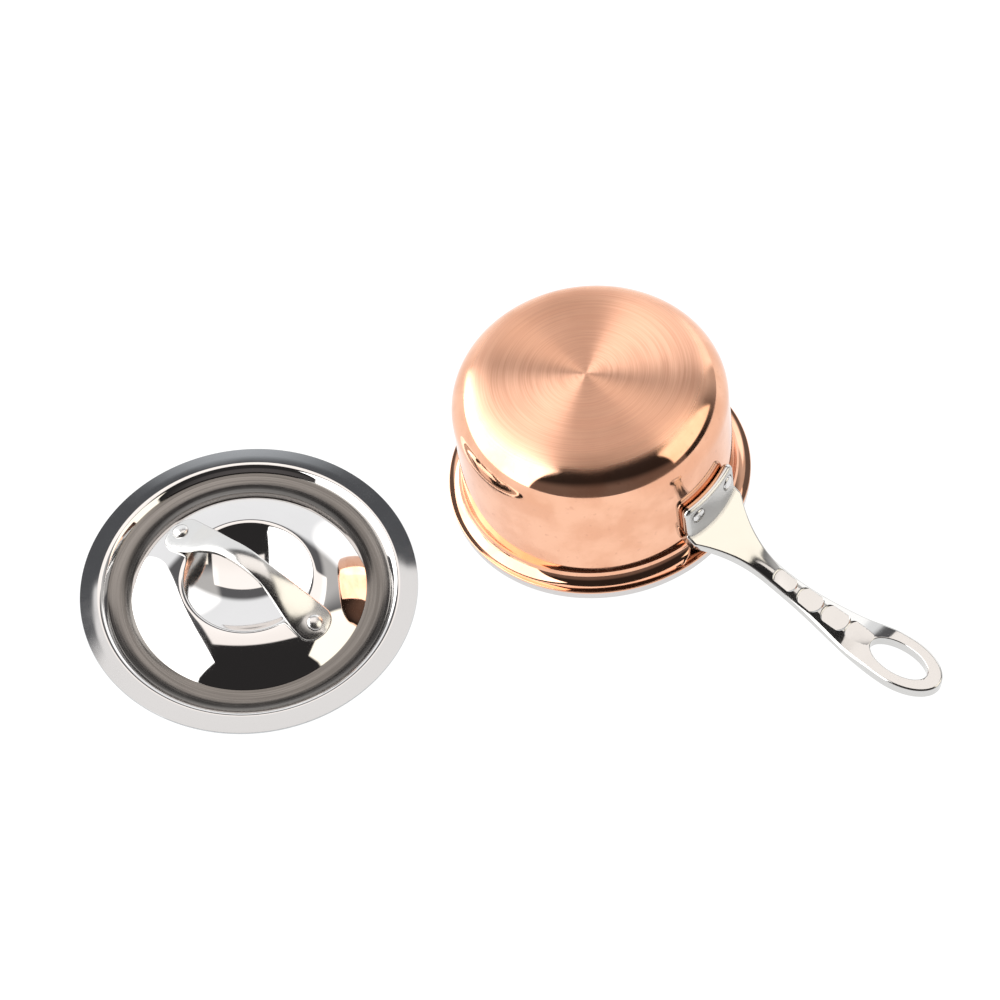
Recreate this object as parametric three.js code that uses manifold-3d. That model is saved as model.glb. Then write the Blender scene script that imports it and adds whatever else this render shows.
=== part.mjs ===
// A small three-ply copper saucepan and its lid, put down the way they are shown off:
// the pan upside down on its rim and the end of its handle, the lid flat beside it.
// Millimetres, +Z up, the table at z = 0, the origin under the middle of the set.
import * as THREE from 'three';
import { mergeVertices } from 'three/addons/utils/BufferGeometryUtils.js';
import Module from 'manifold-3d';

// Pan body, measured upwards from the rim because the pan stands on it
const PAN_INNER_RADIUS = 50;
const PAN_HEIGHT = 64;
const LINING_THICKNESS = 0.6;
const CORE_THICKNESS = 1.5;
const COPPER_THICKNESS = 0.8;
const PLY_GAP = 0.05;
const BASE_CORNER_RADIUS = 15.5;
const FLARE_RADIUS = 5.2;
const LIP_WIDTH = 0.7;
const LIP_HEIGHT = 4.3;
const LIP_EDGE = 0.25;

// Hem of the steel lining, which seals the edges of the other two plies
const HEM_INSET = 0.3;
const HEM_WIDTH = 2;
const HEM_EDGE = 0.3;
const HEM_ROLL = 0.5;

// Rivets: shank and head sizes, the play in their holes and under their heads
const HANDLE_SHANK_RADIUS = 1.9;
const HANDLE_HEAD_RADIUS = 2.9;
const HANDLE_HEAD_HEIGHT = 1.3;
const LID_SHANK_RADIUS = 1.6;
const LID_HEAD_RADIUS = 3.2;
const LID_HEAD_HEIGHT = 1.6;
const HOLE_PLAY = 0.12;
const SEAT_PLAY = 0.1;

// Handle pad, bent round the wall and riveted to it
const PAD_WALL_GAP = 0.15;
const PAD_THICKNESS = 4;
const PAD_HEIGHT = 21;
const PAD_CORNER_RADIUS = 6.5;
const PAD_FLARE_CLEARANCE = 1;
const RIVET_SPACING = 18.6;
const RIVET_SIDE_DISTANCE = 5.9;
const RIVET_TOP_DISTANCE = 5.5;
const RECESS_DEPTH = 0.5;
const RECESS_MARGIN = 0.5;

// Handle arm, measured outwards from the wall; its crown line drops steeply, then levels out
const ARM_LENGTH = 105;
const ARM_ROOT_RISE = 5.2;
const ARM_ROOT_SLOPE = -0.75;
const ARM_TIP_SLOPE = -0.12;
const ARM_LEVELLING = 2.35;
const ARM_ROOT_OFFSET = 5;
const ARM_ROOT_WIDTH = 28;
const ARM_NECK_WIDTH = 8.6;
const ARM_NECK_DISTANCE = 31;
const ARM_THICKNESS = 6;
const ARM_SQUARENESS = 0.55;
const NECK_SWEEP = 2.2;
const LOOP_SWEEP = 1.2;

// Hanging loop at the end of the arm, and the row of dimples that leads to it
const LOOP_WIDTH = 21.8;
const LOOP_TIP_DISTANCE = 18.5;
const LOOP_THICKNESS = 5.2;
const HANG_HOLE_LENGTH = 24.8;
const HANG_HOLE_WIDTH = 12.8;
const DIMPLE_COUNT = 4;
const DIMPLE_START = 35;
const DIMPLE_PITCH = 11.4;
const DIMPLE_DIAMETER = 8.4;
const DIMPLE_DEPTH = 0.8;

// Lid, pressed from one sheet: dished centre, crest, dome, gutter, wall, flange
const LID_THICKNESS = 0.9;
const LID_DISH_DEPTH = 8;
const LID_CREST_HEIGHT = 11;
const LID_CREST_BEND = 2.75;
const LID_DOME_RUN = 19.8;
const LID_DOME_BULGE = 1.85;
const LID_GUTTER_WIDTH = 9.6;
const LID_WALL_ENTRY = 1.8;
const LID_WALL_RUN = 2.8;
const LID_WALL_HEIGHT = 3;
const LID_OVERHANG = 6.05;
const LID_FLANGE_DROP = 0.95;
const LID_BEND_RADIUS = 1.3;

// Lid strap, an arched band riveted to the dome at both ends
const STRAP_THICKNESS = 1.8;
const STRAP_WAIST_WIDTH = 8.2;
const STRAP_WAIST_REACH = 8;
const STRAP_FOOT_WIDTH = 15.8;
const STRAP_HEIGHT = 25.3;
const STRAP_END = 5.6;
const STRAP_FOOT_LENGTH = 3.6;
const STRAP_LIFT_PULL = 8;
const STRAP_CROWN_PULL = 14;
const STRAP_SEAT_GAP = 0.2;
const STRAP_EDGE = 0.4;
const STRAP_RIVET_DISTANCE = 7.8;

// How the two stand: bearings are anticlockwise from +X
const HANDLE_BEARING = -39.7;
const LID_BEARING = -163.2;
const STRAP_BEARING = -41.1;
const SET_GAP = 19.95;

// Fineness of the curved surfaces
const RING_SEGMENTS = 48;
const PAD_SEGMENTS = 96;
const RIVET_SEGMENTS = 16;
const ARC_STEP = Math.PI / 8;
const ARM_RING_POINTS = 20;
const ARM_STEPS = 10;
const TIP_STEPS = 8;
const ROUND_END = 84;
const HOLE_STEPS = 28;
const PAD_CORNER_STEPS = 6;
const DIMPLE_STEPS = 4;
const DIMPLE_OVERCUT = 1.5;
const DISH_STEPS = 5;
const DOME_STEPS = 6;
const STRAP_END_STEPS = 4;
const STRAP_ARCH_STEPS = 10;
const MERGE_DISTANCE = 1e-4;
const CUT_MARGIN = 5;

// Sizes worked out from those above
const PLIES = LINING_THICKNESS + CORE_THICKNESS + COPPER_THICKNESS + 2 * PLY_GAP;
const PAN_RADIUS = PAN_INNER_RADIUS + PLIES;
const FLARE_HEIGHT = LIP_HEIGHT + FLARE_RADIUS;
const RIM_RADIUS = PAN_RADIUS + FLARE_RADIUS + LIP_WIDTH;
const HEM_RADIUS = RIM_RADIUS - HEM_INSET;
const MOUTH_RADIUS = HEM_RADIUS - HEM_WIDTH;
const PAD_INNER_RADIUS = PAN_RADIUS + PAD_WALL_GAP;
const PAD_RADIUS = PAD_INNER_RADIUS + PAD_THICKNESS;
const PAD_BOTTOM = FLARE_HEIGHT + PAD_FLARE_CLEARANCE;
const PAD_TOP = PAD_BOTTOM + PAD_HEIGHT;
const PAD_WIDTH = RIVET_SPACING + 2 * RIVET_SIDE_DISTANCE;
const ROOT_X = PAN_RADIUS + ARM_ROOT_OFFSET;
const TIP_X = PAN_RADIUS + ARM_LENGTH;
const NECK_X = PAN_RADIUS + ARM_NECK_DISTANCE;
const LOOP_X = TIP_X - LOOP_TIP_DISTANCE;
const LID_RADIUS = RIM_RADIUS + LID_OVERHANG;
const LID_GUTTER_RADIUS = MOUTH_RADIUS - LID_WALL_ENTRY;
const LID_DOME_RADIUS = LID_GUTTER_RADIUS - LID_GUTTER_WIDTH;
const LID_CREST_RADIUS = LID_DOME_RADIUS - LID_DOME_RUN;
const LID_RIVET_RADIUS = LID_CREST_RADIUS + STRAP_RIVET_DISTANCE;
const RIM_CONTACT_RADIUS = (HEM_RADIUS - HEM_EDGE) * Math.cos(Math.PI / RING_SEGMENTS);

const wasm = await Module();
wasm.setup();

const radians = THREE.MathUtils.degToRad;
const point = (x, y) => new THREE.Vector2(x, y);
const UP = new THREE.Vector3(0, 0, 1);

// Closed geometry to a solid that can be joined and cut, with its faces turned outwards
function solidOf(geometry) {
  geometry.deleteAttribute('normal');
  geometry.deleteAttribute('uv');
  const merged = mergeVertices(geometry, MERGE_DISTANCE);
  const corners = merged.index.array;
  const triangles = [];
  let volume = 0;
  const [a, b, c] = [new THREE.Vector3(), new THREE.Vector3(), new THREE.Vector3()];
  for (let i = 0; i < corners.length; i += 3) {
    const [ia, ib, ic] = corners.slice(i, i + 3);
    if (ia === ib || ib === ic || ic === ia) continue;
    triangles.push([ia, ib, ic]);
    a.fromBufferAttribute(merged.attributes.position, ia);
    b.fromBufferAttribute(merged.attributes.position, ib);
    c.fromBufferAttribute(merged.attributes.position, ic);
    volume += a.dot(b.cross(c));
  }
  const outward = volume > 0 ? triangles : triangles.map((corner) => corner.reverse());
  return new wasm.Manifold(new wasm.Mesh({
    numProp: 3,
    vertProperties: new Float32Array(merged.attributes.position.array),
    triVerts: new Uint32Array(outward.flat()),
  }));
}

function geometryOf(solid) {
  const mesh = solid.getMesh();
  const geometry = new THREE.BufferGeometry();
  geometry.setAttribute('position', new THREE.BufferAttribute(mesh.vertProperties, 3));
  geometry.setIndex(new THREE.BufferAttribute(mesh.triVerts, 1));
  geometry.computeVertexNormals();
  return geometry;
}

// A profile of (radius, height) points turned about Z; a flat of the ring faces each axis
function turned(profile, segments) {
  const geometry = new THREE.LatheGeometry(profile, segments);
  geometry.rotateX(Math.PI / 2);
  geometry.rotateZ(Math.PI / segments);
  return geometry;
}

function post(radius, low, high, segments) {
  return turned([point(0, low), point(radius, low), point(radius, high), point(0, high)], segments);
}

// Moves a geometry built about Z so that it stands at a place along a direction
function placed(geometry, place, direction) {
  const turn = new THREE.Quaternion().setFromUnitVectors(UP, direction);
  return geometry.applyQuaternion(turn).translate(place.x, place.y, place.z);
}

// Arc points at fixed steps from the first angle, ending exactly on the last
function arc(x, y, radius, from, to) {
  const steps = Math.ceil(Math.abs(to - from) / ARC_STEP - MERGE_DISTANCE);
  const way = Math.sign(to - from);
  const points = [];
  for (let i = 0; i <= steps; i++) {
    const angle = i === steps ? to : from + way * i * ARC_STEP;
    points.push(point(x + radius * Math.cos(angle), y + radius * Math.sin(angle)));
  }
  return points;
}

// Rings of equal point count skinned into one closed geometry
function loft(rings) {
  const size = rings[0].length;
  const last = (rings.length - 1) * size;
  const index = [];
  for (let i = 0; i < rings.length - 1; i++) {
    for (let j = 0; j < size; j++) {
      const here = i * size + j;
      const beside = i * size + (j + 1) % size;
      index.push(here, beside, beside + size, here, beside + size, here + size);
    }
  }
  for (let j = 1; j < size - 1; j++) {
    index.push(0, j + 1, j, last, last + j, last + j + 1);
  }
  const geometry = new THREE.BufferGeometry().setFromPoints(rings.flat());
  return geometry.setIndex(index);
}

// Material finishes
const finish = (color, roughness) =>
  new THREE.MeshStandardMaterial({ color, roughness, metalness: 1 });
const copper = () => finish(0xd8956f, 0.22);
const aluminium = () => finish(0xb9bcc0, 0.45);
const steel = () => finish(0xc9c7c5, 0.2);

function mesh(name, solid, material) {
  const made = new THREE.Mesh(geometryOf(solid), material);
  made.name = name;
  return made;
}

// Pan body

// One face of the pan wall, inset from the outside: base, corner, wall, flare and lip
function wallPath(inset, endRadius) {
  const flareX = PAN_RADIUS + FLARE_RADIUS;
  const flareRadius = FLARE_RADIUS + inset;
  const flareEnd = 2 * Math.PI - Math.acos(Math.min(0, endRadius - flareX) / flareRadius);
  const cornerX = PAN_RADIUS - BASE_CORNER_RADIUS;
  const cornerY = PAN_HEIGHT - BASE_CORNER_RADIUS;
  return [
    point(0, PAN_HEIGHT - inset),
    ...arc(cornerX, cornerY, BASE_CORNER_RADIUS - inset, Math.PI / 2, 0),
    ...arc(flareX, FLARE_HEIGHT, flareRadius, Math.PI, flareEnd),
  ];
}

function copperProfile() {
  const under = LIP_HEIGHT - COPPER_THICKNESS;
  return [
    ...wallPath(0, RIM_RADIUS),
    point(RIM_RADIUS - LIP_EDGE, LIP_HEIGHT),
    point(RIM_RADIUS, LIP_HEIGHT - LIP_EDGE),
    point(RIM_RADIUS, under),
    ...wallPath(COPPER_THICKNESS, RIM_RADIUS).reverse(),
  ];
}

function coreProfile() {
  const outside = COPPER_THICKNESS + PLY_GAP;
  const end = MOUTH_RADIUS - PLY_GAP;
  return [
    ...wallPath(outside, end),
    ...wallPath(outside + CORE_THICKNESS, end).reverse(),
  ];
}

function liningProfile() {
  const hemTop = LIP_HEIGHT - COPPER_THICKNESS - PLY_GAP;
  return [
    ...wallPath(PLIES - LINING_THICKNESS, MOUTH_RADIUS),
    point(MOUTH_RADIUS, hemTop),
    point(HEM_RADIUS - HEM_EDGE, hemTop),
    point(HEM_RADIUS, hemTop - HEM_EDGE),
    point(HEM_RADIUS, HEM_EDGE),
    point(HEM_RADIUS - HEM_EDGE, 0),
    point(MOUTH_RADIUS + HEM_ROLL, 0),
    ...wallPath(PLIES, MOUTH_RADIUS).reverse(),
  ];
}

// Rivets

// A rivet along Z: the outer head sits on z = 0, the inner one on z = -grip
function rivet(shankRadius, headRadius, headHeight, grip) {
  const dome = arc(0, 0, 1, 0, Math.PI / 2).map((p) => point(p.x * headRadius, p.y * headHeight));
  const innerDome = dome.map((p) => point(p.x, -grip - p.y)).reverse();
  const profile = [...innerDome, point(shankRadius, -grip), point(shankRadius, 0), ...dome];
  return turned(profile, RIVET_SEGMENTS);
}

// Straight out through the wall at one of the two handle rivets; side is -1 or +1
function handleRivetAxis(side) {
  const angle = side * Math.asin(RIVET_SPACING / 2 / PAD_RADIUS);
  return new THREE.Vector3(Math.cos(angle), Math.sin(angle), 0);
}

function alongRivet(axis, distance) {
  return axis.clone().multiplyScalar(distance).setZ(PAD_TOP - RIVET_TOP_DISTANCE);
}

function handleRivetHoles() {
  const radius = HANDLE_SHANK_RADIUS + HOLE_PLAY;
  const holes = [-1, 1].map((side) => {
    const axis = handleRivetAxis(side);
    const start = PAN_INNER_RADIUS - CUT_MARGIN;
    const cutter = post(radius, 0, PAD_RADIUS + CUT_MARGIN - start, RIVET_SEGMENTS);
    return solidOf(placed(cutter, alongRivet(axis, start), axis));
  });
  return holes[0].add(holes[1]);
}

function handleRivet(side) {
  const axis = handleRivetAxis(side);
  const outerSeat = PAD_RADIUS - RECESS_DEPTH + SEAT_PLAY;
  const flat = PAN_INNER_RADIUS * Math.cos(Math.PI / RING_SEGMENTS);
  const innerSeat = Math.sqrt(flat ** 2 - HANDLE_HEAD_RADIUS ** 2) - SEAT_PLAY;
  const grip = outerSeat - innerSeat;
  const made = rivet(HANDLE_SHANK_RADIUS, HANDLE_HEAD_RADIUS, HANDLE_HEAD_HEIGHT, grip);
  return solidOf(placed(made, alongRivet(axis, outerSeat), axis));
}

// Handle, one casting: pad, arm and hanging loop

// Height and slope of the arm's crown line at a distance from the pan's axis
function crownSlope(x) {
  const left = (TIP_X - x) / (TIP_X - ROOT_X);
  return ARM_TIP_SLOPE + (ARM_ROOT_SLOPE - ARM_TIP_SLOPE) * left ** ARM_LEVELLING;
}

function crownHeight(x) {
  const run = TIP_X - ROOT_X;
  const power = ARM_LEVELLING + 1;
  const bend = (ARM_ROOT_SLOPE - ARM_TIP_SLOPE) * run / power;
  const left = (TIP_X - x) / run;
  return FLARE_HEIGHT + ARM_ROOT_RISE + ARM_TIP_SLOPE * (x - ROOT_X) + bend * (1 - left ** power);
}

// Width of the arm: wide at the pad, narrow at the neck, wide again round the loop
function armWidth(x) {
  if (x > LOOP_X) {
    return LOOP_WIDTH * Math.sqrt(Math.max(0, 1 - ((x - LOOP_X) / LOOP_TIP_DISTANCE) ** 2));
  }
  if (x > NECK_X) {
    const rise = THREE.MathUtils.smoothstep(x, NECK_X, LOOP_X);
    return THREE.MathUtils.lerp(ARM_NECK_WIDTH, LOOP_WIDTH, rise ** LOOP_SWEEP);
  }
  const left = Math.min(1, (NECK_X - x) / (NECK_X - ROOT_X));
  return THREE.MathUtils.lerp(ARM_NECK_WIDTH, ARM_ROOT_WIDTH, left ** NECK_SWEEP);
}

function armRing(x) {
  const slope = crownSlope(x);
  const normal = new THREE.Vector3(-slope, 0, 1).normalize();
  const toLoop = THREE.MathUtils.smoothstep(x, NECK_X, LOOP_X);
  const halfThickness = THREE.MathUtils.lerp(ARM_THICKNESS, LOOP_THICKNESS, toLoop) / 2;
  const halfWidth = armWidth(x) / 2;
  const centre = new THREE.Vector3(x, 0, crownHeight(x)).addScaledVector(normal, -halfThickness);
  const squared = (value) => Math.sign(value) * Math.abs(value) ** ARM_SQUARENESS;
  const ring = [];
  for (let i = 0; i < ARM_RING_POINTS; i++) {
    const angle = 2 * Math.PI * (i + 0.5) / ARM_RING_POINTS;
    const at = centre.clone().addScaledVector(normal, halfThickness * squared(Math.sin(angle)));
    ring.push(at.setY(halfWidth * squared(Math.cos(angle))));
  }
  return ring;
}

function armSolid() {
  const rings = [];
  const start = PAD_INNER_RADIUS - CUT_MARGIN / 2;
  for (const [from, to] of [[start, NECK_X], [NECK_X, LOOP_X]]) {
    for (let i = 0; i < ARM_STEPS; i++) rings.push(armRing(THREE.MathUtils.lerp(from, to, i / ARM_STEPS)));
  }
  for (let i = 0; i <= TIP_STEPS; i++) {
    const angle = radians(ROUND_END) * i / TIP_STEPS;
    rings.push(armRing(LOOP_X + LOOP_TIP_DISTANCE * Math.sin(angle)));
  }
  const inside = solidOf(post(PAD_INNER_RADIUS, -PAN_HEIGHT, PAN_HEIGHT, PAD_SEGMENTS));
  return solidOf(loft(rings)).subtract(inside);
}

function padSolid() {
  const [half, radius] = [PAD_WIDTH / 2, PAD_CORNER_RADIUS];
  const outline = new THREE.Shape();
  outline.absarc(half - radius, PAD_BOTTOM + radius, radius, -Math.PI / 2, 0);
  outline.absarc(half - radius, PAD_TOP - radius, radius, 0, Math.PI / 2);
  outline.absarc(radius - half, PAD_TOP - radius, radius, Math.PI / 2, Math.PI);
  outline.absarc(radius - half, PAD_BOTTOM + radius, radius, Math.PI, 1.5 * Math.PI);
  const block = new THREE.ExtrudeGeometry(outline, {
    depth: PAD_RADIUS + CUT_MARGIN,
    bevelEnabled: false,
    curveSegments: PAD_CORNER_STEPS,
  });
  const across = new THREE.Vector3(0, 1, 0);
  const outwards = new THREE.Vector3(1, 0, 0);
  block.applyMatrix4(new THREE.Matrix4().makeBasis(across, UP, outwards));
  const ring = turned([
    point(PAD_INNER_RADIUS, PAD_BOTTOM - CUT_MARGIN),
    point(PAD_RADIUS, PAD_BOTTOM - CUT_MARGIN),
    point(PAD_RADIUS, PAD_TOP + CUT_MARGIN),
    point(PAD_INNER_RADIUS, PAD_TOP + CUT_MARGIN),
    point(PAD_INNER_RADIUS, PAD_BOTTOM - CUT_MARGIN),
  ], PAD_SEGMENTS);
  return solidOf(block).intersect(solidOf(ring));
}

function recess(side) {
  const axis = handleRivetAxis(side);
  const cutter = post(HANDLE_HEAD_RADIUS + RECESS_MARGIN, 0, CUT_MARGIN, RIVET_SEGMENTS);
  return solidOf(placed(cutter, alongRivet(axis, PAD_RADIUS - RECESS_DEPTH), axis));
}

// Square to the arm's crown at a distance from the pan's axis
function crownFrame(x) {
  const normal = new THREE.Vector3(-crownSlope(x), 0, 1).normalize();
  return { place: new THREE.Vector3(x, 0, crownHeight(x)), normal };
}

function hangHole() {
  const outline = new THREE.Shape();
  outline.absellipse(0, 0, HANG_HOLE_LENGTH / 2, HANG_HOLE_WIDTH / 2, 0, 2 * Math.PI);
  const depth = LOOP_THICKNESS + 2 * CUT_MARGIN;
  const cutter = new THREE.ExtrudeGeometry(outline, {
    depth,
    bevelEnabled: false,
    curveSegments: HOLE_STEPS,
  });
  const { place, normal } = crownFrame(LOOP_X);
  return solidOf(placed(cutter.translate(0, 0, CUT_MARGIN - depth), place, normal));
}

// A shallow round hollow, cut by a lens whose lower face is part of a sphere
function dimple(x) {
  const half = DIMPLE_DIAMETER / 2;
  const radius = (half ** 2 + DIMPLE_DEPTH ** 2) / (2 * DIMPLE_DEPTH);
  const reach = DIMPLE_OVERCUT * Math.asin(half / radius);
  const profile = [point(0, CUT_MARGIN), point(radius * Math.sin(reach), CUT_MARGIN)];
  for (let i = 0; i <= DIMPLE_STEPS; i++) {
    const angle = reach * (1 - i / DIMPLE_STEPS);
    profile.push(point(radius * Math.sin(angle), radius * (1 - Math.cos(angle)) - DIMPLE_DEPTH));
  }
  const { place, normal } = crownFrame(x);
  return solidOf(placed(turned(profile, RIVET_SEGMENTS), place, normal));
}

function handleSolid() {
  let handle = padSolid().add(armSolid()).subtract(hangHole()).subtract(handleRivetHoles());
  for (const side of [-1, 1]) handle = handle.subtract(recess(side));
  for (let i = 0; i < DIMPLE_COUNT; i++) {
    handle = handle.subtract(dimple(PAN_RADIUS + DIMPLE_START + i * DIMPLE_PITCH));
  }
  return handle;
}

// Lid

// Middle of the dome's sheet at a radius, and its slope there
function domeHeight(radius) {
  const along = (radius - LID_CREST_RADIUS) / LID_DOME_RUN;
  const crest = LID_CREST_HEIGHT - LID_THICKNESS / 2;
  const chord = THREE.MathUtils.lerp(crest, LID_THICKNESS / 2, along);
  return chord + 4 * LID_DOME_BULGE * along * (1 - along);
}

function domeSlope(radius) {
  const along = (radius - LID_CREST_RADIUS) / LID_DOME_RUN;
  return (4 * LID_DOME_BULGE * (1 - 2 * along) - LID_CREST_HEIGHT + LID_THICKNESS) / LID_DOME_RUN;
}

// A path with its inner corners rounded; a corner with no bend is passed through
function bentPath(corners) {
  const path = [corners[0].at];
  for (let i = 1; i < corners.length - 1; i++) {
    const { at, bend } = corners[i];
    const back = corners[i - 1].at.clone().sub(at).normalize();
    const ahead = corners[i + 1].at.clone().sub(at).normalize();
    const half = Math.acos(THREE.MathUtils.clamp(back.dot(ahead), -1, 1)) / 2;
    if (!bend) {
      path.push(at);
      continue;
    }
    const tangent = bend / Math.tan(half);
    const from = at.clone().addScaledVector(back, tangent);
    const to = at.clone().addScaledVector(ahead, tangent);
    const bisector = back.clone().add(ahead).normalize();
    const centre = at.clone().addScaledVector(bisector, bend / Math.sin(half));
    const start = from.clone().sub(centre).angle();
    const turn = to.clone().sub(centre).angle() - start;
    const sweep = Math.atan2(Math.sin(turn), Math.cos(turn));
    path.push(...arc(centre.x, centre.y, bend, start, start + sweep));
  }
  path.push(corners.at(-1).at);
  return path;
}

// A path shifted sideways, square to itself
function shifted(path, distance) {
  return path.map((at, i) => {
    const before = path[Math.max(0, i - 1)];
    const after = path[Math.min(path.length - 1, i + 1)];
    const along = after.clone().sub(before).normalize();
    const moved = at.clone().add(point(-along.y, along.x).multiplyScalar(distance));
    return i === 0 ? moved.setX(0) : moved;
  });
}

function lidProfile() {
  const middle = LID_THICKNESS / 2;
  const crest = LID_CREST_HEIGHT - middle;
  const corner = (x, y, bend) => ({ at: point(x, y), bend });
  const dish = [];
  for (let i = 0; i < DISH_STEPS; i++) {
    const share = i / DISH_STEPS;
    dish.push(corner(LID_CREST_RADIUS * share, crest - LID_DISH_DEPTH * (1 - share ** 2), 0));
  }
  const dome = [];
  for (let i = 1; i < DOME_STEPS; i++) {
    const radius = THREE.MathUtils.lerp(LID_CREST_RADIUS, LID_DOME_RADIUS, i / DOME_STEPS);
    dome.push(corner(radius, domeHeight(radius), 0));
  }
  const path = bentPath([
    ...dish,
    corner(LID_CREST_RADIUS, crest, LID_CREST_BEND),
    ...dome,
    corner(LID_DOME_RADIUS, middle, LID_BEND_RADIUS),
    corner(LID_GUTTER_RADIUS, middle, LID_BEND_RADIUS),
    corner(LID_GUTTER_RADIUS + LID_WALL_RUN, middle + LID_WALL_HEIGHT, LID_BEND_RADIUS),
    corner(LID_RADIUS, middle + LID_WALL_HEIGHT - LID_FLANGE_DROP, 0),
  ]);
  return [...shifted(path, middle), ...shifted(path, -middle).reverse()];
}

// Straight out of the dome at one of the two strap rivets; side is -1 or +1
function lidRivetFrame(side) {
  const slope = domeSlope(LID_RIVET_RADIUS);
  const axis = new THREE.Vector3(-slope * side, 0, 1).normalize();
  const place = new THREE.Vector3(side * LID_RIVET_RADIUS, 0, domeHeight(LID_RIVET_RADIUS));
  return { axis, place };
}

function lidRivetHoles() {
  const radius = LID_SHANK_RADIUS + HOLE_PLAY;
  const holes = [-1, 1].map((side) => {
    const { axis, place } = lidRivetFrame(side);
    return solidOf(placed(post(radius, -CUT_MARGIN, CUT_MARGIN, RIVET_SEGMENTS), place, axis));
  });
  return holes[0].add(holes[1]);
}

function lidRivet(side) {
  const { axis, place } = lidRivetFrame(side);
  const hollow = LID_HEAD_RADIUS ** 2 / (2 * LID_RIVET_RADIUS);
  const outerSeat = LID_THICKNESS / 2 + STRAP_SEAT_GAP + STRAP_THICKNESS + SEAT_PLAY;
  const innerSeat = -LID_THICKNESS / 2 - hollow - SEAT_PLAY;
  const made = rivet(LID_SHANK_RADIUS, LID_HEAD_RADIUS, LID_HEAD_HEIGHT, outerSeat - innerSeat);
  return solidOf(placed(made.translate(0, 0, outerSeat), place, axis));
}

// Half of the strap's middle line, from its round end to its crown, with the width at each point
function strapHalf() {
  const { axis, place } = lidRivetFrame(1);
  const along = point(axis.z, -axis.x);
  const lift = LID_THICKNESS / 2 + STRAP_SEAT_GAP + STRAP_THICKNESS / 2;
  const seat = point(place.x, place.z).addScaledVector(point(axis.x, axis.z), lift);
  const onFoot = (distance) => seat.clone().addScaledVector(along, distance);
  const crown = STRAP_HEIGHT - STRAP_THICKNESS / 2;
  const arch = new THREE.CubicBezierCurve(
    onFoot(-STRAP_FOOT_LENGTH),
    onFoot(-STRAP_FOOT_LENGTH - STRAP_LIFT_PULL),
    point(STRAP_CROWN_PULL, crown),
    point(0, crown),
  );
  const stations = [];
  for (let i = 0; i <= STRAP_END_STEPS; i++) {
    const angle = radians(ROUND_END) * (1 - i / STRAP_END_STEPS);
    stations.push({ at: onFoot(STRAP_END * Math.sin(angle)), width: STRAP_FOOT_WIDTH * Math.cos(angle) });
  }
  for (const at of arch.getPoints(STRAP_ARCH_STEPS)) {
    const broad = THREE.MathUtils.smoothstep(at.x, STRAP_WAIST_REACH, seat.x);
    stations.push({ at, width: THREE.MathUtils.lerp(STRAP_WAIST_WIDTH, STRAP_FOOT_WIDTH, broad) });
  }
  return stations;
}

function strapSolid() {
  const half = strapHalf();
  const mirrored = half.slice(0, -1).reverse().map(({ at, width }) => ({ at: point(-at.x, at.y), width }));
  const stations = [...half, ...mirrored];
  const rings = stations.map(({ at, width }, i) => {
    const before = stations[Math.max(0, i - 1)].at;
    const after = stations[Math.min(stations.length - 1, i + 1)].at;
    const along = after.clone().sub(before).normalize();
    return strapRing(at, point(-along.y, along.x), width / 2);
  });
  return solidOf(loft(rings)).subtract(lidRivetHoles());
}

// A flat band's section with its edges broken
function strapRing(at, normal, halfWidth) {
  const halfThickness = STRAP_THICKNESS / 2;
  const section = [
    [halfWidth, halfThickness - STRAP_EDGE], [halfWidth - STRAP_EDGE, halfThickness],
    [STRAP_EDGE - halfWidth, halfThickness], [-halfWidth, halfThickness - STRAP_EDGE],
    [-halfWidth, STRAP_EDGE - halfThickness], [STRAP_EDGE - halfWidth, -halfThickness],
    [halfWidth - STRAP_EDGE, -halfThickness], [halfWidth, STRAP_EDGE - halfThickness],
  ];
  return section.map(([across, lift]) =>
    new THREE.Vector3(at.x + normal.x * lift, across, at.y + normal.y * lift));
}

// The pan tips until the rim and the handle's end both stand on the table
function panTilt(handle) {
  const place = handle.geometry.attributes.position;
  let tilt = 0;
  for (let i = 0; i < place.count; i++) {
    tilt = Math.max(tilt, Math.atan2(-place.getZ(i), place.getX(i) + RIM_CONTACT_RADIUS));
  }
  return tilt;
}

function pan() {
  const group = new THREE.Group();
  const holes = handleRivetHoles();
  const ply = (profile) => solidOf(turned(profile, RING_SEGMENTS)).subtract(holes);
  const handle = mesh('pan_handle', handleSolid(), steel());
  group.add(
    mesh('copper_shell', ply(copperProfile()), copper()),
    mesh('aluminium_core', ply(coreProfile()), aluminium()),
    mesh('steel_lining', ply(liningProfile()), steel()),
    handle,
    mesh('handle_rivet_left', handleRivet(-1), steel()),
    mesh('handle_rivet_right', handleRivet(1), steel()),
  );
  const tilt = panTilt(handle);
  group.rotation.set(0, -tilt, radians(HANDLE_BEARING), 'ZYX');
  group.position.z = RIM_CONTACT_RADIUS * Math.sin(tilt);
  return group;
}

function lid() {
  const group = new THREE.Group();
  const sheet = solidOf(turned(lidProfile(), RING_SEGMENTS));
  const bearing = radians(LID_BEARING);
  const strapBearing = radians(STRAP_BEARING);
  group.add(
    mesh('lid', sheet.subtract(lidRivetHoles()), steel()),
    mesh('lid_strap', strapSolid(), steel()),
    mesh('lid_rivet_left', lidRivet(-1), steel()),
    mesh('lid_rivet_right', lidRivet(1), steel()),
  );
  const apart = RIM_RADIUS + SET_GAP + LID_RADIUS;
  group.position.set(apart * Math.cos(bearing), apart * Math.sin(bearing), 0);
  group.rotation.z = strapBearing;
  return group;
}

// Stands the set with its origin under the middle of its bounding box
function standing(...groups) {
  const set = new THREE.Group().add(...groups);
  const box = new THREE.Box3().setFromObject(set, true);
  const centre = box.getCenter(new THREE.Vector3());
  set.position.set(-centre.x, -centre.y, -box.min.z);
  return new THREE.Group().add(set);
}

export default standing(pan(), lid());
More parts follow.
